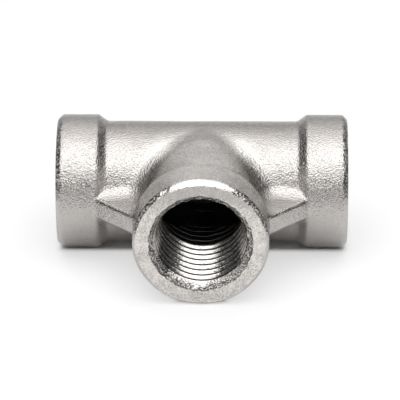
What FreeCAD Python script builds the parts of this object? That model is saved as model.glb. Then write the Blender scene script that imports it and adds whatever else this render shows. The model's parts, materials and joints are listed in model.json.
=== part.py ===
import FreeCAD, Part
import math
import os

# Equal threaded pipe tee, one stainless steel casting. Lengths are in millimetres.
# The run lies along X and the branch points to -Y. The tee lies on its three collars,
# with the origin on the floor under the middle of its outline.

# Outside of the casting
centre_to_end = 19.5        # from the crossing of the axes to each end face
collar_diameter = 18.0      # banded collar round each thread
collar_length = 5.5         # straight band, measured from the end face
shoulder_length = 1.1       # cone from the band down to the tube
band_height = 0.9           # how far the collar stands above the tube
run_end_round = 0.95        # outer corner of each run end, turned in two bevels
branch_end_round = 0.6      # the same on the branch, whose face was cut back further
branch_step = 0.05          # the branch tube is this much smaller in radius than the run
saddle_round = 2.0          # blend between the run and the branch

# Gusset webs in the two corners
web_thickness = 2.75
web_proud = 0.2             # how far the slanted edge stands outside the collars' crests
web_foot_round = 1.6        # blend from the web to the tubes
web_edge_round = 0.3        # corners of the slanted edge
tuck = 0.6                  # how far the tubes and webs run on inside the collars

# Inside: bores drilled for tapping, their mouths and the cored crossing between them
collar_wall = 3.4           # from the collar's band in to the bore, which makes the bore 11.2 across
countersink = 1.25          # how much the 45 degree mouth widens the bore in radius
core_relief = 0.6           # how much wider in radius the cored passages are than the bores
core_beyond = 1.3           # how far the cored passages reach beyond their crotch

# Radii and places that follow from them
collar_radius = collar_diameter / 2
run_radius = collar_radius - band_height
branch_radius = run_radius - branch_step
band_start = centre_to_end - collar_length
shoulder_start = band_start - shoulder_length
tube_reach = band_start + tuck
tap_bore_radius = collar_radius - collar_wall
mouth_radius = tap_bore_radius + countersink
core_radius = tap_bore_radius + core_relief
core_reach = core_radius + core_beyond
web_half = web_thickness / 2
web_reach = band_start + collar_radius + web_proud  # x plus y along the slanted edge

origin = FreeCAD.Vector(0, 0, 0)
along_x = FreeCAD.Vector(1, 0, 0)
along_z = FreeCAD.Vector(0, 0, 1)
arm_turns = {"run_right": 0, "run_left": 180, "branch": -90}
arm_steps = {"run_right": 0, "run_left": 0, "branch": branch_step}
arm_end_rounds = {"run_right": run_end_round, "run_left": run_end_round, "branch": branch_end_round}
tolerance = 1e-3


def point(x, y, z=0.0):
    return FreeCAD.Vector(x, y, z)


def outline_face(corners):
    """Flat face inside straight edges through (x, y) corners."""
    outline = [point(x, y) for x, y in corners]
    return Part.Face(Part.makePolygon(outline + outline[:1]))


def turned(corners):
    """Solid turned about X from an outline of (distance, radius) corners."""
    return outline_face(corners).revolve(origin, along_x, 360)


def placed(shape, arm):
    """A copy of a shape made for the arm along +X, turned to the named arm."""
    copy = shape.copy()
    copy.rotate(origin, along_z, arm_turns[arm])
    return copy


def edges_where(shape, test, count=7):
    """The edges of a shape whose every sampled point passes a test."""
    chosen = []
    for edge in shape.Edges:
        step = (edge.LastParameter - edge.FirstParameter) / count
        spots = [edge.valueAt(edge.FirstParameter + step * (i + 0.5)) for i in range(count)]
        if all(test(spot) for spot in spots):
            chosen.append(edge)
    return chosen


def crossed_tubes():
    """Run and branch tubes, up to inside the collars, with a rolled blend along their crease."""
    run = Part.makeCylinder(run_radius, 2 * tube_reach, point(-tube_reach, 0), along_x)
    branch = placed(Part.makeCylinder(branch_radius, tube_reach, origin, along_x), "branch")
    both = run.fuse(branch).removeSplitter()

    def on_crease(spot):
        off_run = abs(math.hypot(spot.y, spot.z) - run_radius)
        off_branch = abs(math.hypot(spot.x, spot.z) - branch_radius)
        return max(off_run, off_branch) < tolerance

    room = shoulder_start - run_radius
    return both.makeFillet(min(saddle_round, room), edges_where(both, on_crease)).Solids[0]


def webbed_quarter(tubes):
    """One quarter of the tubes with half the thickness of its gusset web.

    The web is a plate in the plane of the axes, with its outer edge slanted at 45
    degrees. Its foot is rolled into the tubes by a fillet that follows the run, the
    saddle and the branch in one line.
    """
    far = 3 * centre_to_end
    quarter = tubes.common(Part.makeBox(far, 2 * far, far, point(0, -far)))
    tip = web_reach - tube_reach
    plate = outline_face([(0, 0), (tube_reach, 0), (tube_reach, -tip), (tip, -tube_reach),
                          (0, -tube_reach)])
    quarter = quarter.fuse(plate.extrude(point(0, 0, web_half))).removeSplitter().Solids[0]

    def on_foot(spot):
        on_top = abs(spot.z - web_half) < tolerance
        on_slant = abs(spot.x - spot.y - web_reach) < tolerance
        on_stop = max(spot.x, -spot.y) > tube_reach - tolerance
        return on_top and not on_slant and not on_stop

    return quarter.makeFillet(web_foot_round, edges_where(quarter, on_foot)).Solids[0]


def webbed_tubes():
    """The tubes with both webs, mirrored from one quarter, with the slanted edges softened."""
    quarter = webbed_quarter(crossed_tubes())
    half = quarter.fuse(quarter.mirror(origin, along_z))
    whole = half.fuse(half.mirror(origin, along_x)).removeSplitter().Solids[0]

    def on_slant_corner(spot):
        on_slant = abs(abs(spot.x) - spot.y - web_reach) < tolerance
        on_side = abs(abs(spot.z) - web_half) < tolerance
        return on_slant and on_side

    return whole.makeFillet(web_edge_round, edges_where(whole, on_slant_corner)).Solids[0]


def collar(tube_radius, end_round):
    """Banded collar of the arm along +X, from the foot of its shoulder to the end face."""
    root = shoulder_start - tuck
    short_of_corner = end_round * (1 - math.sqrt(0.5))
    return turned([
        (root, 0),
        (root, tube_radius),
        (shoulder_start, tube_radius),
        (band_start, collar_radius),
        (centre_to_end - end_round, collar_radius),
        (centre_to_end - short_of_corner, collar_radius - short_of_corner),
        (centre_to_end, collar_radius - end_round),
        (centre_to_end, 0),
    ])


def hollow(core):
    """What is empty in the arm along +X: cored passage, drilled wall and countersunk mouth."""
    return turned([
        (0, 0),
        (0, core),
        (core_reach, core),
        (core_reach + core_relief, tap_bore_radius),
        (centre_to_end - countersink, tap_bore_radius),
        (centre_to_end, mouth_radius),
        (centre_to_end, 0),
    ])


def tee_body():
    """The casting with its three collars, hollowed from every end to the crossing."""
    body = webbed_tubes()
    for arm, step in arm_steps.items():
        body = body.fuse(placed(collar(run_radius - step, arm_end_rounds[arm]), arm))
    body = body.removeSplitter()
    for arm, step in arm_steps.items():
        body = body.cut(placed(hollow(core_radius - step), arm))
    return body.removeSplitter()


body = tee_body()
# From the crossing of the axes to the floor under the middle of the outline
body.translate(point(0, (centre_to_end - collar_radius) / 2, collar_radius))

os.makedirs("parts", exist_ok=True)
body.Solids[0].exportStep("parts/tee_body.step")
state = "valid" if body.isValid() else "not valid"
print("tee_body", state, len(body.Solids), "solid", len(body.Faces), "faces", round(body.Volume, 1), "mm3")
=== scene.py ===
import json
import math
import bpy
import numpy as np
from mathutils import Matrix, Vector


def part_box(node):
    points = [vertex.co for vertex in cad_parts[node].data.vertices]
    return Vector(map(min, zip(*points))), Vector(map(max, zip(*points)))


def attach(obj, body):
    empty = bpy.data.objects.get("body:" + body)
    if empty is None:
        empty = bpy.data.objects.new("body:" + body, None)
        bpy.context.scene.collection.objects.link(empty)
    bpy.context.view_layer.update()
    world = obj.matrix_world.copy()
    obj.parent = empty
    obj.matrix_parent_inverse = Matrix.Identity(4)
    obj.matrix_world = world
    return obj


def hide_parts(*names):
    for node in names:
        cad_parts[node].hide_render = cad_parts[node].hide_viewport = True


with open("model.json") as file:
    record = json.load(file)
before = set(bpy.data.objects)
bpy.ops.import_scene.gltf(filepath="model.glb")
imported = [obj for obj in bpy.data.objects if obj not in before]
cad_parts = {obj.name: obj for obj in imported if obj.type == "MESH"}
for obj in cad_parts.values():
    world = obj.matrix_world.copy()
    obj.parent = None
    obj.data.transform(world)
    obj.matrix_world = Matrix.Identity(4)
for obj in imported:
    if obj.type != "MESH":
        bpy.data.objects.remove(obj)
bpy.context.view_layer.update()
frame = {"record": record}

print("frame loaded")

# Shapes are worked out in millimetres about the crossing of the two axes, with the run
# along X and the branch along -Y, and go into metres in the frame at the end.
mm = 0.001
tiny = 1e-9   # keeps divisors above zero
lowCorner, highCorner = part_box("tee_body")
centreToEnd = round((highCorner.x - lowCorner.x) / mm, 1) / 2
collarRadius = round((highCorner.z - lowCorner.z) / mm, 1) / 2
crossing = Vector((0, (centreToEnd - collarRadius) / 2, collarRadius)) * mm
mounts = {mount["name"]: mount for mount in frame["record"]["mounts"]}
boreRadius = mounts["branch_thread"]["dims"]["r_mm"]
armTurns = {"runRight": 0, "runLeft": 180, "branch": -90}

# Camera

cameraView = {
    "elevation": 25.41,       # degrees down onto the object
    "turn": 0.855,            # degrees round to the right of straight in front
    "distance": 467.4,        # mm from the point looked at
    "target": (-0.237, -8.0, 0.906),   # that point, mm from the crossing
    "lens": 315.7,
    "roll": -0.181,           # degrees
    "nearClip": 10,           # mm
}


def newObject(name, data):
    item = bpy.data.objects.new(name, data)
    bpy.context.scene.collection.objects.link(item)
    return item


def placeCamera(view):
    tilt, turn = math.radians(view["elevation"]), math.radians(view["turn"])
    target = crossing + Vector(view["target"]) * mm
    away = Vector((math.sin(turn) * math.cos(tilt), -math.cos(turn) * math.cos(tilt), math.sin(tilt)))
    data = bpy.data.cameras.new("camera")
    data.lens = view["lens"]
    data.clip_start = view["nearClip"] * mm
    aim = away.to_track_quat("Z", "Y").to_matrix().to_4x4()
    roll = Matrix.Rotation(math.radians(view["roll"]), 4, "Z")
    camera = newObject("camera", data)
    camera.matrix_world = Matrix.Translation(target + away * view["distance"] * mm) @ aim @ roll
    bpy.context.scene.camera = camera


placeCamera(cameraView)
print("camera placed")


# Shader nodes

steelTint = (1, 0.96, 0.923)   # red, green and blue shares of the steel's warm grey


class Wire:
    # A socket in a material's nodes. Sums and products of wires and numbers add Math nodes.

    def __init__(self, tree, socket):
        self.tree, self.socket = tree, socket

    def node(self, kind, settings, sockets, output=0):
        # Any other node: its settings, then the values or links of its sockets
        node = self.tree.nodes.new(kind)
        for name, value in settings.items():
            if name == "stops":
                ramp = node.color_ramp.elements
                while len(ramp) < len(value):
                    ramp.new(1)
                for stop, (place, colour) in zip(ramp, value):
                    stop.position = place
                    stop.color = (*colour, 1)
            else:
                setattr(node, name, value)
        for name, value in sockets.items():
            if isinstance(value, Wire):
                self.tree.links.new(value.socket, node.inputs[name])
            else:
                node.inputs[name].default_value = value
        return Wire(self.tree, node.outputs[output] if node.outputs else None)

    def maths(self, operation, first, second):
        return self.node("ShaderNodeMath", {"operation": operation}, {0: first, 1: second})

    def __add__(self, other):
        return self.maths("ADD", self, other)

    def __sub__(self, other):
        return self.maths("SUBTRACT", self, other)

    def __rsub__(self, other):
        return self.maths("SUBTRACT", other, self)

    def __mul__(self, other):
        return self.maths("MULTIPLY", self, other)

    def __neg__(self):
        return self.maths("MULTIPLY", self, -1.0)

    def __abs__(self):
        return self.maths("ABSOLUTE", self, 0.0)

    __radd__ = __add__
    __rmul__ = __mul__

    def larger(self, other):
        return self.maths("MAXIMUM", self, other)

    def part(self, axis):
        return self.node("ShaderNodeSeparateXYZ", {}, {"Vector": self}, axis)

    def noise(self, grain, detail=2.0, roughness=0.5):
        # Soft noise of the wire's place, with grains of about this many millimetres
        return self.node("ShaderNodeTexNoise", {}, {
            "Vector": self, "Scale": 1 / (grain * mm), "Detail": detail, "Roughness": roughness})

    def step(self, low, high):
        # 0 below low and 1 above high, with a smooth rise between
        return self.node("ShaderNodeMapRange", {"interpolation_type": "SMOOTHSTEP"}, {
            "Value": self, "From Min": low, "From Max": high})

    def over(self, span):
        # The same rise between two distances in millimetres
        low, high = span
        return self.step(low * mm, high * mm)

    def between(self, ends):
        # From the first number where the wire is 0 to the second where it is 1
        first, second = ends
        return self * (second - first) + first

    def greys(self, stops):
        # Steel greys, from stops of the wire's value and the grey there
        colours = [(place, [grey * share for share in steelTint]) for place, grey in stops]
        return self.node("ShaderNodeValToRGB", {"stops": colours}, {"Fac": self})

    def bumps(self, scale=1.0):
        # The wire times the scale is a height in millimetres
        return self.node("ShaderNodeBump", {}, {"Height": self, "Distance": scale * mm})


def startNodes(owner, coordinates):
    # Clears the nodes of a material or world, and gives a wire with these coordinates of its own
    owner.use_nodes = True
    tree = owner.node_tree
    tree.nodes.clear()
    return Wire(tree, None).node("ShaderNodeTexCoord", {}, {}, coordinates)


def newFinish(name):
    material = bpy.data.materials.new(name)
    return material, startNodes(material, "Object")


def finishSurface(place, finish, shade, rough, bumps):
    # Bare metal with the finish's greys over the shade and its roughness over the rough wire
    surface = place.node("ShaderNodeBsdfPrincipled", {}, {
        "Metallic": 1.0,
        "Base Color": shade.greys(finish["greys"]),
        "Roughness": rough.step(*finish["roughOver"]).between(finish["roughness"]),
        "Normal": bumps,
    })
    place.node("ShaderNodeOutputMaterial", {}, {"Surface": surface})


skinFinish = {
    "greys": [(0.0, 0.12), (0.2, 0.34), (0.8, 0.54), (1.0, 0.84)],   # from the torn rim's painted pit shade to the branch's painted light
    "roughness": (0.10, 0.18),
    "roughOver": (0.3, 0.7),    # values of the patches at the one and the other
    "patch": 4.0,               # mm across one lighter or darker patch
    "patchShade": 0.4,
    "pebble": 0.21,             # mm across one grain of the blasted skin
    "pebbleHeight": 0.118,
    "pebbleShade": 0.55,
    "fineGrain": 0.09,
    "fineHeight": 0.02,
    "fineShade": 0.4,
    "burr": 0.3,                # grain of the torn rim round each faced end
    "burrHeight": 0.27,
    "burrPaintedShade": 1.3,
    "burrPits": (0.47, 0.54),   # values of that grain from the pits with the darkest painted shade to the plain skin
    "burrGap": 3.0,             # mm across the places where the rim isn't torn
    "burrGapOver": (0.28, 0.42),
    "burrWidth": 0.9,
    "burrSides": (3.2, 5.0),    # mm to either side over which it sets in on the branch
    "burrRise": (0.5, 3.0),     # and over which it sets in above the axes
    "branchSkin": (0.0, 6.0),   # mm out along the branch over which its smoother skin and painted light set in
    "branchSides": (4.5, 8.3),  # and to either side, over which it ends again
    "branchSmooth": 0.5,        # share of the pebbles' height that it lacks
    "branchPaintedLight": 0.42,
}


def nearEnd(place, depth):
    # 0 to 1 towards the faced ends: from this many millimetres on, and in full for the last quarter
    along = abs(place.part("X")).larger(-place.part("Y") + crossing.y)
    return along.over((centreToEnd - depth, centreToEnd - depth / 4))


def castSkin(finish):
    # Blasted casting: pebbles with finer grain on them, and painted shade in their hollows. The branch is
    # smoother along its middle, with painted light there. The upper sides of each faced end have a torn
    # rim, with painted shade in its pits.
    material, place = newFinish("castSkin")
    pebble = place.noise(finish["pebble"], detail=1.5)
    fine = place.noise(finish["fineGrain"])
    patches = place.noise(finish["patch"])
    burr = place.noise(finish["burr"])
    across = abs(place.part("X"))
    torn = nearEnd(place, finish["burrWidth"]) * across.over(finish["burrSides"])
    torn = torn * (place.part("Z") - crossing.z).over(finish["burrRise"])
    torn = torn * place.noise(finish["burrGap"], detail=1.0).step(*finish["burrGapOver"])
    branch = (-place.part("Y") + crossing.y).over(finish["branchSkin"])
    branch = branch * (1 - across.over(finish["branchSides"]))
    height = pebble * (1 - branch * finish["branchSmooth"]) * finish["pebbleHeight"]
    height = height + fine * finish["fineHeight"] + burr * torn * finish["burrHeight"]
    # Painted shade: the base colour is darker where the pebbles and the fine grain are low
    shade = (pebble - 0.5) * finish["pebbleShade"] + (fine - 0.5) * finish["fineShade"]
    # Painted light: the branch's middle is lighter
    shade = shade + (patches - 0.5) * finish["patchShade"] + 0.5 + branch * finish["branchPaintedLight"]
    # Painted shade in the torn rim's pits
    shade = shade - torn * (1 - burr.step(*finish["burrPits"])) * finish["burrPaintedShade"]
    finishSurface(place, finish, shade, patches, height.bumps())
    return material


faceFinish = {
    "greys": [(0.2, 0.40), (0.8, 0.76)],
    "roughness": (0.24, 0.44),
    "roughOver": (0.35, 0.65),
    "grain": 0.2,
    "grainHeight": 0.06,
    "grainShade": 2.2,
    "patch": 1.6,
    "patchShade": 0.7,
    "darkRise": (3.0, 8.0),     # mm above the axes over which painted shade darkens the face
    "topPaintedShade": 0.35,
}


def turnedFace(finish):
    # Faced ends: light grey with a faint grain of pulled metal, and painted shade darker towards the top
    material, place = newFinish("turnedFace")
    grain = place.noise(finish["grain"], detail=3.0, roughness=0.6)
    patches = place.noise(finish["patch"])
    top = (place.part("Z") - crossing.z).over(finish["darkRise"])
    shade = (grain - 0.5) * finish["grainShade"] + (patches - 0.5) * finish["patchShade"] + 0.5
    # Painted shade: darker towards the top
    shade = shade - top * finish["topPaintedShade"]
    finishSurface(place, finish, shade, grain, grain.bumps(finish["grainHeight"]))
    return material


threadFinish = {
    "greys": [(0.0, 0.15), (0.35, 0.5), (0.7, 0.72)],
    "roughness": (0.12, 0.24),
    "roughOver": (0.35, 0.65),
    "grain": 0.3,
    "grainHeight": 0.02,
    "chip": 0.26,               # grain of the chipped mouth
    "chipHeight": 0.4,
    "chipGap": 2.5,             # mm across the places with no chips
    "chipGapOver": (0.2, 0.5),
    "mouthDepth": 1.7,
    "mouthLevel": 0.56,         # where the chips' grain is above this the mouth is lighter, else darker
    "mouthShade": 2.4,
    "sides": (3.0, 5.5),        # mm to either side in the branch over which painted shade darkens the turns
    "sidesEnd": (boreRadius * 1.4, collarRadius),   # and over which that ends, in the run
    "sidePaintedShade": 0.33,
}


def cutThread(finish):
    # Tapped flanks: bright and smooth, with painted shade at the sides of the branch bore, and a torn,
    # chipped mouth
    material, place = newFinish("cutThread")
    grain = place.noise(finish["grain"], detail=3.0, roughness=0.6)
    chip = place.noise(finish["chip"], detail=2.5)
    chips = chip * place.noise(finish["chipGap"], detail=1.0).step(*finish["chipGapOver"])
    mouth = nearEnd(place, finish["mouthDepth"])
    across = abs(place.part("X"))
    sides = across.over(finish["sides"]) * (1 - across.over(finish["sidesEnd"]))
    height = grain * finish["grainHeight"] + chips * mouth * finish["chipHeight"]
    shade = grain - mouth * (finish["mouthLevel"] - chip) * finish["mouthShade"]
    # Painted shade on the sides of the branch bore
    shade = shade - sides * (1 - mouth) * finish["sidePaintedShade"]
    finishSurface(place, finish, shade, grain, height.bumps())
    return material


coreFinish = {
    "greys": [(0.3, 0.06), (0.7, 0.12)],
    "roughness": (0.42, 0.58),
    "roughOver": (0.3, 0.7),
    "grain": 0.5,
    "grainHeight": 0.05,
}


def coreSkin(finish):
    # The cored crossing: as cast and rough, and nearly black as painted shade of the deep crossing
    material, place = newFinish("coreSkin")
    grain = place.noise(finish["grain"], detail=3.0, roughness=0.55)
    finishSurface(place, finish, grain, grain, grain.bumps(finish["grainHeight"]))
    return material


finishes = [castSkin(skinFinish), turnedFace(faceFinish), cutThread(threadFinish), coreSkin(coreFinish)]
skinKind, faceKind, threadKind, coreKind = range(len(finishes))
print("finishes made")


# Meshes

def newPiece(name, verts, faces):
    mesh = bpy.data.meshes.new(name)
    mesh.from_pydata(verts, [], faces)
    mesh.update()
    return newObject(name, mesh)


def valuesOf(items, name, width=1, kind=float):
    # One property of all vertices, edges, corners or faces, in rows where it has several numbers
    flat = np.empty(len(items) * width, kind)
    items.foreach_get(name, flat)
    return flat if width == 1 else flat.reshape(-1, width)


def setPoints(mesh, points):
    mesh.vertices.foreach_set("co", points.ravel())
    mesh.update()


def withModifier(piece, kind, **settings):
    # Adds one modifier to a piece and works it into the mesh
    modifier = piece.modifiers.new(kind, kind)
    for name, value in settings.items():
        setattr(modifier, name, value)
    graph = bpy.context.evaluated_depsgraph_get()
    mesh = bpy.data.meshes.new_from_object(piece.evaluated_get(graph))
    piece.modifiers.clear()
    piece.data = mesh


def alongArm(shape, arm):
    # A shape made along +X, turned about Z onto the named arm
    verts, faces = shape
    cos, sin = math.cos(math.radians(armTurns[arm])), math.sin(math.radians(armTurns[arm]))
    x, y, z = verts.T
    return np.stack([cos * x - sin * y, sin * x + cos * y, z], axis=1), faces


def joined(shapes):
    starts = np.cumsum([0] + [len(verts) for verts, _ in shapes])
    faces = [[index + start for index in face] for start, (_, part) in zip(starts, shapes) for face in part]
    return np.concatenate([verts for verts, _ in shapes]), faces


def capFan(loop, tip):
    # Triangles from a border, given in its faces' own direction, to the point that closes it
    loop = np.asarray(loop)
    return np.stack([np.full(len(loop), tip), np.roll(loop, -1), loop], axis=1).tolist()


def turnedShape(profile, around):
    # Solid turned about X: each (distance, radius) of the profile carried round a full circle,
    # with the first and last distances closed on the axis
    profile = np.asarray(profile, float)
    angle = np.arange(around) * 2 * math.pi / around
    u = np.repeat(profile[:, 0], around)
    v = np.outer(profile[:, 1], np.cos(angle)).ravel()
    w = np.outer(profile[:, 1], np.sin(angle)).ravel()
    tips = [[profile[0, 0], 0, 0], [profile[-1, 0], 0, 0]]
    verts = np.concatenate([np.stack([u, v, w], axis=1), tips])
    rows = len(profile)
    i, j = np.meshgrid(np.arange(rows - 1), np.arange(around), indexing="ij")
    k = (j + 1) % around
    walls = np.stack([i * around + j, i * around + k, (i + 1) * around + k, (i + 1) * around + j], axis=-1)
    start = np.arange(around)
    end = (rows - 1) * around + np.arange(around)[::-1]
    faces = walls.reshape(-1, 4).tolist() + capFan(start, len(verts) - 2) + capFan(end, len(verts) - 1)
    return verts, faces


def waves(points, length, seed, count=40, spread=(0.75, 1.3)):
    # Soft unevenness, about -1 to 1: a sum of cosine waves in seeded random directions, with
    # lengths spread a little about the given one
    rng = np.random.default_rng(seed)
    heading = rng.normal(size=(count, 3))
    heading *= 2 * math.pi / length / np.linalg.norm(heading, axis=1, keepdims=True)
    heading *= rng.uniform(*spread, size=(count, 1))
    start = rng.uniform(0, 2 * math.pi, size=count)
    return np.cos(points @ heading.T + start).sum(axis=1) / math.sqrt(count)


# Outside of the casting. A field gives each point its distance outside a shape.

casting = {
    "tubeRadius": collarRadius - 0.9,
    "branchStep": 0.05,                # the branch tube is this much slimmer
    "bandStart": centreToEnd - 5.5,
    "shoulderStart": centreToEnd - 6.68,
    "shoulderSoftness": 0.22,          # half the length over which its corners are rounded
    "facingStock": 0.03,               # cast length that the facing cut takes off each end
    "runEndBevel": 0.68,
    "branchEndBevel": 0.62,            # at the top
    "bevelShares": (0.45, 0.75),       # shares of that at the sides and at the bottom
    "bevelRound": 0.12,                # radius on the two corners of a bevel
    "saddleRound": 2.8,
    "webHalf": 1.375,                  # at the slanted edge
    "webDraft": 0.12,                  # how fast the web thickens inward from there
    "webDraftReach": 6.0,              # and how far
    "webReach": centreToEnd - 5.5 + collarRadius + 0.2,   # |x| - y along the slanted edge
    "webRoot": 6.4,                    # the web starts this far from the axes, inside the wall
    "webEdgeRound": 0.46,
    "webFootRound": 2.2,
    "webTipRound": 0.25,               # the same at the collars
    "rows": 60,                        # of the rough arms, and faces around them
    "around": 128,
    "cell": 0.27,                      # grid of the skin
    "easings": 4,                      # rounds of evening out its points, and how far each goes
    "easeShare": 0.5,
    "pebbleRise": 0.008,               # cast unevenness, its length and its random seed
    "pebbleLength": 1.3,
    "pebbleSeed": 3,
    "swellRise": 0.014,
    "swellLength": 7.0,
    "swellSeed": 4,
    "evenEnd": 0.25,                   # the unevenness fades out this near the ends
}
castEnd = centreToEnd + casting["facingStock"]


def armRadius(along, tube):
    # The tube, a straight shoulder and the band: the mean of a ramp over a short length,
    # which rounds its foot and its crest
    rise = casting["bandStart"] - casting["shoulderStart"]
    spread = casting["shoulderSoftness"] / rise
    t = (along - casting["shoulderStart"]) / rise

    def rampArea(s):
        inside = np.clip(s, 0, 1)
        return inside * inside / 2 + np.maximum(s - 1, 0)

    return tube + (collarRadius - tube) * (rampArea(t + spread) - rampArea(t - spread)) / (2 * spread)


def outerCorner(a, b, radius):
    # Inside both shapes: the larger distance, with their common edge rounded
    over = np.hypot(np.maximum(a + radius, 0), np.maximum(b + radius, 0))
    return np.minimum(np.maximum(a, b), -radius) + over


def armField(along, off, tube, bevel):
    # The outside of one arm, with its end's outer corner bevelled and then rounded
    side, end = off - armRadius(along, tube), along - castEnd
    slanted = outerCorner(side, (side + end + bevel) / math.sqrt(2), casting["bevelRound"])
    return outerCorner(slanted, end, casting["bevelRound"])


def runField(p):
    along, off = np.abs(p[:, 0]), np.hypot(p[:, 1], p[:, 2])
    return armField(along, off, casting["tubeRadius"], casting["runEndBevel"])


def branchField(p):
    # It starts with a half ball about the crossing, inside the run
    along = -p[:, 1]
    off = np.linalg.norm(np.stack([p[:, 0], np.minimum(along, 0), p[:, 2]]), axis=0)
    tube = casting["tubeRadius"] - casting["branchStep"]
    # The end's bevel is widest at the top, as its face wasn't cut quite square
    height = p[:, 2] / np.maximum(off, tiny)
    beside, below = casting["bevelShares"]
    share = beside + np.maximum(height, 0) * (1 - beside) + np.minimum(height, 0) * (beside - below)
    return armField(along, off, tube, casting["branchEndBevel"] * share)


def webField(p):
    # A plate in the plane of the axes, cut off where |x| - y passes the slanted edge and
    # thicker inward from there
    across = np.abs(p[:, 0])
    slant = (across - p[:, 1] - casting["webReach"]) / math.sqrt(2)
    inward = np.clip(slant, -casting["webDraftReach"], 0)
    plate = np.abs(p[:, 2]) - casting["webHalf"] + casting["webDraft"] * inward
    plate = plate / math.hypot(1, casting["webDraft"])
    inner = np.maximum(casting["webRoot"] - across, casting["webRoot"] + p[:, 1])
    return np.maximum(outerCorner(plate, slant, casting["webEdgeRound"]), inner)


def slopes(field, p, step=0.01):
    # The direction in which a field grows, by differences over a short step
    slope = np.stack([field(p + d) - field(p - d) for d in np.eye(3) * step], axis=1)
    return slope / np.maximum(np.linalg.norm(slope, axis=1, keepdims=True), tiny)


def saddleBall(p):
    return casting["saddleRound"]


def footBall(p):
    # The web's foot is sharper where the web runs into the collars' bands
    near = np.maximum(np.abs(p[:, 0]), -p[:, 1]) - casting["shoulderStart"]
    share = np.clip(near / (casting["bandStart"] - casting["shoulderStart"]), 0, 1)
    return casting["webFootRound"] + (casting["webTipRound"] - casting["webFootRound"]) * share


def rolledJoint(fieldA, fieldB, ballRadius):
    # Both shapes, with a ball rolled along the groove between them. The ball's share of the
    # groove is 1 less the cosine of the angle between the surfaces, so it fades out where they
    # run into each other.
    def field(p):
        a, b = fieldA(p), fieldB(p)
        turn = 1 - np.sum(slopes(fieldA, p) * slopes(fieldB, p), axis=1)
        ball = ballRadius(p) * np.clip(turn, 0, 1)
        groove = np.hypot(np.maximum(ball - a, 0), np.maximum(ball - b, 0))
        return np.maximum(np.minimum(a, b), ball) - groove

    return field


castField = rolledJoint(rolledJoint(runField, branchField, saddleBall), webField, footBall)


def webPrism(side):
    # Rough web for one side, from its three corners
    root, tip = casting["webRoot"], casting["webReach"] - casting["webRoot"]
    corners = [(root, -root), (root, -tip), (tip, -root)][::side]
    half = casting["webHalf"]
    verts = np.array([(side * x, y, z) for z in (-half, half) for x, y in corners])
    walls = [(i, (i + 1) % 3, (i + 1) % 3 + 3, i + 3) for i in range(3)]
    return verts, [(2, 1, 0), (3, 4, 5)] + walls


def neighbourMean(mesh, points):
    # Mean place of the vertices that share an edge with each vertex
    ends = valuesOf(mesh.edges, "vertices", 2, np.int32)
    a, b = ends.T
    total = np.zeros_like(points)
    np.add.at(total, a, points[b])
    np.add.at(total, b, points[a])
    count = np.bincount(ends.ravel(), minlength=len(points))
    return total / count[:, None]


def ontoSkin(points):
    # Moves points onto the skin along the field's slope
    return points - slopes(castField, points) * castField(points)[:, None]


def armProfile(tube):
    return [(u, armRadius(u, tube)) for u in np.linspace(0, castEnd, casting["rows"])]


def armPlace(points):
    # Distance out along the nearest arm's axis, and distance off that axis
    alongRun, alongBranch = np.abs(points[:, 0]), -points[:, 1]
    offRun = np.hypot(points[:, 1], points[:, 2])
    offBranch = np.hypot(points[:, 0], points[:, 2])
    branch = alongBranch > alongRun
    return np.where(branch, alongBranch, alongRun), np.where(branch, offBranch, offRun)


def castSolid():
    # Rough solid on an even grid, then eased onto the field and left slightly uneven
    tube, around = casting["tubeRadius"], casting["around"]
    half = armProfile(tube)
    run = turnedShape([(-u, r) for u, r in half[:0:-1]] + half, around)
    branch = alongArm(turnedShape(armProfile(tube - casting["branchStep"]), around), "branch")
    piece = newPiece("teeCasting", *joined([run, branch, webPrism(1), webPrism(-1)]))
    withModifier(piece, "REMESH", mode="VOXEL", voxel_size=casting["cell"])
    points = valuesOf(piece.data.vertices, "co", 3)
    for _ in range(casting["easings"]):
        points = ontoSkin(ontoSkin(points))
        points += casting["easeShare"] * (neighbourMean(piece.data, points) - points)
    points = ontoSkin(ontoSkin(points))
    uneven = casting["pebbleRise"] * waves(points, casting["pebbleLength"], casting["pebbleSeed"])
    uneven += casting["swellRise"] * waves(points, casting["swellLength"], casting["swellSeed"])
    depth = np.maximum(casting["pebbleRise"] + casting["swellRise"] - uneven, 0)
    depth *= np.clip((castEnd - armPlace(points)[0]) / casting["evenEnd"], 0, 1)
    setPoints(piece.data, points - slopes(castField, points) * depth[:, None])
    return piece


body = castSolid()
print("casting shaped,", len(body.data.vertices), "points")

# Cored crossing

core = {
    "radius": boreRadius + 0.6,
    "branchStep": 0.05,
    "reach": boreRadius + 1.9,      # from the crossing to the start of the cone down to the bore
    "cone": 0.6,
    "overlap": 0.2,                 # how far the cone runs on inside the threads
    "cell": 0.5,                    # mm between rows, and faces around
    "around": 80,
    "rise": 0.05,                   # unevenness, its length and its random seed
    "length": 2.2,
    "seed": 8,
}


def coreShape(start, radius):
    # A straight cored passage, slightly uneven, with a cone at its end, and at both ends where
    # it runs through the crossing
    rows = np.linspace(start, core["reach"], int((core["reach"] - start) / core["cell"]))
    tip = boreRadius - core["overlap"]
    profile = [(u, radius) for u in rows] + [(core["reach"] + core["cone"] + core["overlap"], tip)]
    if start < 0:
        profile.insert(0, (start - core["cone"] - core["overlap"], tip))
    verts, faces = turnedShape(profile, core["around"])
    off = core["rise"] * waves(verts, core["length"], core["seed"])
    verts[:, 1:] *= 1 + (off / radius)[:, None]
    return verts, faces


coreCuts = [coreShape(-core["reach"], core["radius"]),
            alongArm(coreShape(0, core["radius"] - core["branchStep"]), "branch")]

# Threads

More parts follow.
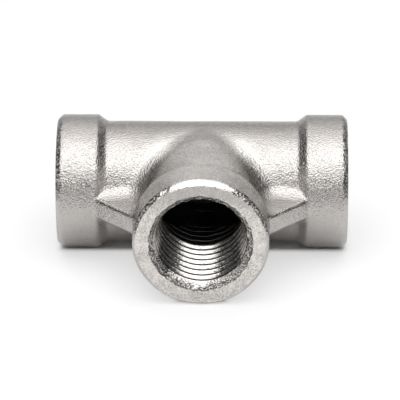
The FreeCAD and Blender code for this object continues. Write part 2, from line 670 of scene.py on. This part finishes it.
thread = {
    "pitch": 25.4 / 18,
    "rootRadius": 6.81,           # at the end face
    "taper": 1 / 32,              # in radius
    "rootFlat": 0.05,
    "flankSlope": math.sqrt(3),   # 60 degrees between flanks
    "depth": 0.77,                # cut to flat crests
    "mouthRadius": boreRadius + 1.25,
    "starts": {"runRight": 4.0, "runLeft": 4.0, "branch": -5.6},   # inner ends of the cutters
    "fadeIn": 3.0,                # the first turns are only partly cut
    "coreShadeEnds": 8.0,             # the nearly black core finish, painted shade, further in than this
    "beyond": 0.5,                # how far the cutter runs out past the end face
    "rows": 14,                   # to one pitch
    "around": 96,
    "lip": 0.12,                  # straight last bit of the mouth
    "chips": 0.08,                # rise of its chips, their length and the first arm's random seed
    "chipLength": 0.55,
    "seed": 20,
}


def tapShape(start, seed):
    # Cutter along +X. Its surface is a ribbon that climbs one pitch a turn and is joined to itself.
    # The radius is the root less the flank's rise with the distance from the middle of the root,
    # as far as the thread's depth, never less than the bore, and never less than the mouth: 45
    # degrees, straight for its last bit before the face, and 45 degrees again beyond it.
    rows, around, pitch = thread["rows"], thread["around"], thread["pitch"]
    last = math.ceil((centreToEnd + thread["beyond"] - start) / pitch * rows)
    i, j = np.meshgrid(np.arange(last + 1), np.arange(around), indexing="ij")
    u = start + pitch * (i / rows + j / around)
    angle = 2 * math.pi * j / around
    fromRoot = np.abs((i / rows) % 1 - 0.5) * pitch
    root = thread["rootRadius"] - (centreToEnd - u) * thread["taper"]
    rise = np.maximum(fromRoot - thread["rootFlat"] / 2, 0) * thread["flankSlope"]
    flank = root - np.minimum(rise, thread["depth"])
    cutShare = np.clip((u - start - pitch) / thread["fadeIn"], 0, 1)
    threaded = np.maximum(flank - (1 - cutShare) * (root - boreRadius), boreRadius)
    mouth = thread["mouthRadius"] + np.minimum(u - centreToEnd + thread["lip"], 0)
    mouth = mouth + np.maximum(u - centreToEnd, 0)
    spot = np.stack([u, mouth * np.cos(angle), mouth * np.sin(angle)], axis=-1).reshape(-1, 3)
    mouth = mouth + thread["chips"] * waves(spot, thread["chipLength"], seed).reshape(u.shape)
    radius = np.maximum(threaded, mouth)
    verts = np.stack([u, radius * np.cos(angle), radius * np.sin(angle)], axis=-1).reshape(-1, 3)
    tips = [[start + pitch / 2, 0, 0], [u[-1, around // 2], 0, 0]]
    index = i * around + j
    after = np.roll(index, -1, axis=1)
    # The last column joins the first one a pitch further on
    seamLow, seamHigh = index[:last - rows, -1], index[1:last - rows + 1, -1]
    seam = np.stack([seamLow, index[rows:last, 0], index[rows + 1:, 0], seamHigh], axis=1)
    walls = np.stack([index[:-1, :-1], after[:-1, :-1], after[1:, :-1], index[1:, :-1]], axis=-1)
    inner = np.concatenate([index[0], index[rows:0:-1, 0]])
    outer = np.concatenate([index[-1, ::-1], index[last - rows:last, -1]])
    faces = walls.reshape(-1, 4).tolist() + seam.tolist()
    faces += capFan(inner, len(verts)) + capFan(outer, len(verts) + 1)
    return np.concatenate([verts, tips]), faces


def boxShape(low, high):
    corners = np.array([(x, y, z) for x in (low[0], high[0]) for y in (low[1], high[1])
                        for z in (low[2], high[2])], float)
    return corners, [(0, 1, 3, 2), (4, 6, 7, 5), (0, 4, 5, 1), (2, 3, 7, 6), (0, 2, 6, 4), (1, 5, 7, 3)]


def cut(piece, shape, operation="DIFFERENCE"):
    tool = newPiece("cutter", *shape)
    withModifier(piece, "BOOLEAN", operation=operation, solver="MANIFOLD", object=tool)
    bpy.data.objects.remove(tool)


far = 2 * centreToEnd
cut(body, boxShape((-centreToEnd, -centreToEnd, -far), (centreToEnd, far, far)), "INTERSECT")
print("ends faced,", len(body.data.vertices), "points")
for shape in coreCuts:
    cut(body, shape)
print("crossing cored,", len(body.data.vertices), "points")
for number, (arm, start) in enumerate(thread["starts"].items()):
    cut(body, alongArm(tapShape(start, thread["seed"] + number), arm))
print("threads cut,", len(body.data.vertices), "points")


finishBorders = {
    "endPlay": 1e-3,              # mm from an end plane within which a face belongs to it
    "borePlay": 0.2,              # mm inside the bore where the threads' finish still holds
    "sharpFold": 28,              # degrees between machined faces from which their edge is sharp
}


def giveFinishes(piece):
    # Faced ends lie in the end planes, threads and mouths near the bore, and the core is what
    # else lies inside the wall
    mesh = piece.data
    mesh.materials.clear()
    for material in finishes:
        mesh.materials.append(material)
    along, off = armPlace(valuesOf(mesh.polygons, "center", 3))
    inWall = off < (thread["rootRadius"] + casting["tubeRadius"]) / 2
    nearBore = (along > thread["coreShadeEnds"]) & (off > boreRadius - finishBorders["borePlay"])
    kind = np.full(len(along), skinKind, np.int32)
    kind[inWall] = coreKind
    kind[inWall & nearBore] = threadKind
    kind[along > centreToEnd - finishBorders["endPlay"]] = faceKind
    mesh.polygons.foreach_set("material_index", kind)
    mesh.polygons.foreach_set("use_smooth", np.ones(len(kind), bool))
    return kind


def markSharp(mesh, kind, angle):
    # Sharp where two finishes meet and where machined faces fold by more than the angle
    normals = valuesOf(mesh.polygons, "normal", 3)
    sizes = valuesOf(mesh.polygons, "loop_total", kind=np.int32)
    face = np.repeat(np.arange(len(sizes)), sizes)
    edge = valuesOf(mesh.loops, "edge_index", kind=np.int32)
    order = np.argsort(edge, kind="stable")
    first, second = face[order][0::2], face[order][1::2]
    fold = np.sum(normals[first] * normals[second], axis=1) < math.cos(math.radians(angle))
    sharp = (kind[first] != kind[second]) | (fold & (kind[first] != skinKind))
    mesh.attributes.new("sharp_edge", "BOOLEAN", "EDGE").data.foreach_set("value", sharp)


kind = giveFinishes(body)
markSharp(body.data, kind, finishBorders["sharpFold"])
body.data.transform(Matrix.Translation(crossing) @ Matrix.Scale(mm, 4))
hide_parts("tee_body")
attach(body, "root")
print("finishes given")

# Floor, light and surroundings

studio = {
    "floorGrey": 0.92,
    "floorSize": 6.0,             # m, as are the softboxes' edges and height
    "liftedShare": 0.58,          # how far the floor shows as if lit from below
    "liftFrom": (2.2, 3.8),       # mm from under the tee's lowest lines to where that is full
    "runLineShort": 3.0,          # mm by which those lines stop short of the ends
    "branchLineShort": 4.2,
    "boxHeight": 0.5,
    "boxes": {                    # left, right, front and back edge of each softbox, and brightness
        "frontSoftbox": (-0.36, 0.36, -0.9, -0.5, 2.5),
        "topSoftbox": (-0.32, 0.32, -0.5, 0.02, 2.6),
        "leftSoftbox": (-0.54, -0.32, -0.44, -0.18, 2.8),
        "rightSoftbox": (0.32, 0.54, -0.44, -0.18, 2.8),
        "middleSoftbox": (-0.32, 0.32, 0.02, 0.17, 1.3),
        "backSoftbox": (-0.32, 0.32, 0.17, 0.44, 0.8),
    },
    "plainGlow": 0.86,            # brightness of the surroundings behind, and low in front
    "plainShares": (0.8, 1.0),    # shares of that at floor level and well above it
    "plainRise": (0.05, 0.5),     # upward parts of the heading at the one and the other
    "sideGlow": 0.1,
    "sideOver": (0.4, 0.56),      # sideways parts of the heading at plainGlow and at sideGlow
    "frontOver": (-0.1, 0.1),     # forward parts of the heading from behind to in front
    "frontNarrow": 0.24,          # by how much less sideways sideGlow sets in there
    "frontTop": (0.18, 0.3),      # and the upward parts over which sideGlow sets in as well
}


def makeFloor():
    half = studio["floorSize"] / 2
    floor = newPiece("floor", [(-half, -half, 0), (half, -half, 0), (half, half, 0), (-half, half, 0)],
                     [(0, 1, 2, 3)])
    # Seen by the camera, the floor partly glows by itself: painted light that lightens the tee's shadow,
    # except right under the tee
    material, place = newFinish("paleFloor")
    fromRun, fromBranch = abs(place.part("Y") - crossing.y), abs(place.part("X"))
    runLine = fromRun.larger(fromBranch - (centreToEnd - studio["runLineShort"]) * mm)
    branchLine = fromBranch.larger(fromRun - (centreToEnd - studio["branchLineShort"]) * mm)
    lift = runLine.over(studio["liftFrom"]) * branchLine.over(studio["liftFrom"])
    lift = lift * place.node("ShaderNodeLightPath", {}, {}, "Is Camera Ray") * studio["liftedShare"]
    grey = studio["floorGrey"]
    matt = place.node("ShaderNodeBsdfDiffuse", {}, {"Color": (grey, grey, grey, 1)})
    pale = place.node("ShaderNodeEmission", {}, {"Strength": 1.0})
    surface = place.node("ShaderNodeMixShader", {}, {0: lift, 1: matt, 2: pale})
    place.node("ShaderNodeOutputMaterial", {}, {"Surface": surface})
    floor.data.materials.append(material)


def makeSoftbox(name, left, right, front, back, brightness):
    # A lamp's power is its brightness times its area times pi
    data = bpy.data.lights.new(name, "AREA")
    data.shape = "RECTANGLE"
    data.size = right - left
    data.size_y = back - front
    data.energy = brightness * math.pi * data.size * data.size_y
    softbox = newObject(name, data)
    softbox.location = ((left + right) / 2, (front + back) / 2, studio["boxHeight"])


def makeSurroundings():
    # Pale behind the object, and in front of it low down and over a narrower angle, and dim elsewhere
    world = bpy.data.worlds.new("surroundings")
    bpy.context.scene.world = world
    heading = startNodes(world, "Generated")
    front = (-heading.part("Y")).step(*studio["frontOver"])
    upward = heading.part("Z")
    aside = abs(heading.part("X")) + front * (upward.step(*studio["frontTop"]) + studio["frontNarrow"])
    dim = aside.step(*studio["sideOver"])
    plain = upward.step(*studio["plainRise"]).between(studio["plainShares"]) * studio["plainGlow"]
    glow = dim * studio["sideGlow"] + (1 - dim) * plain
    light = glow.node("ShaderNodeBackground", {}, {"Strength": glow})
    light.node("ShaderNodeOutputWorld", {}, {"Surface": light})


makeFloor()
for name, box in studio["boxes"].items():
    makeSoftbox(name, *box)
makeSurroundings()
bpy.context.scene.view_settings.view_transform = "Standard"
print("studio set")
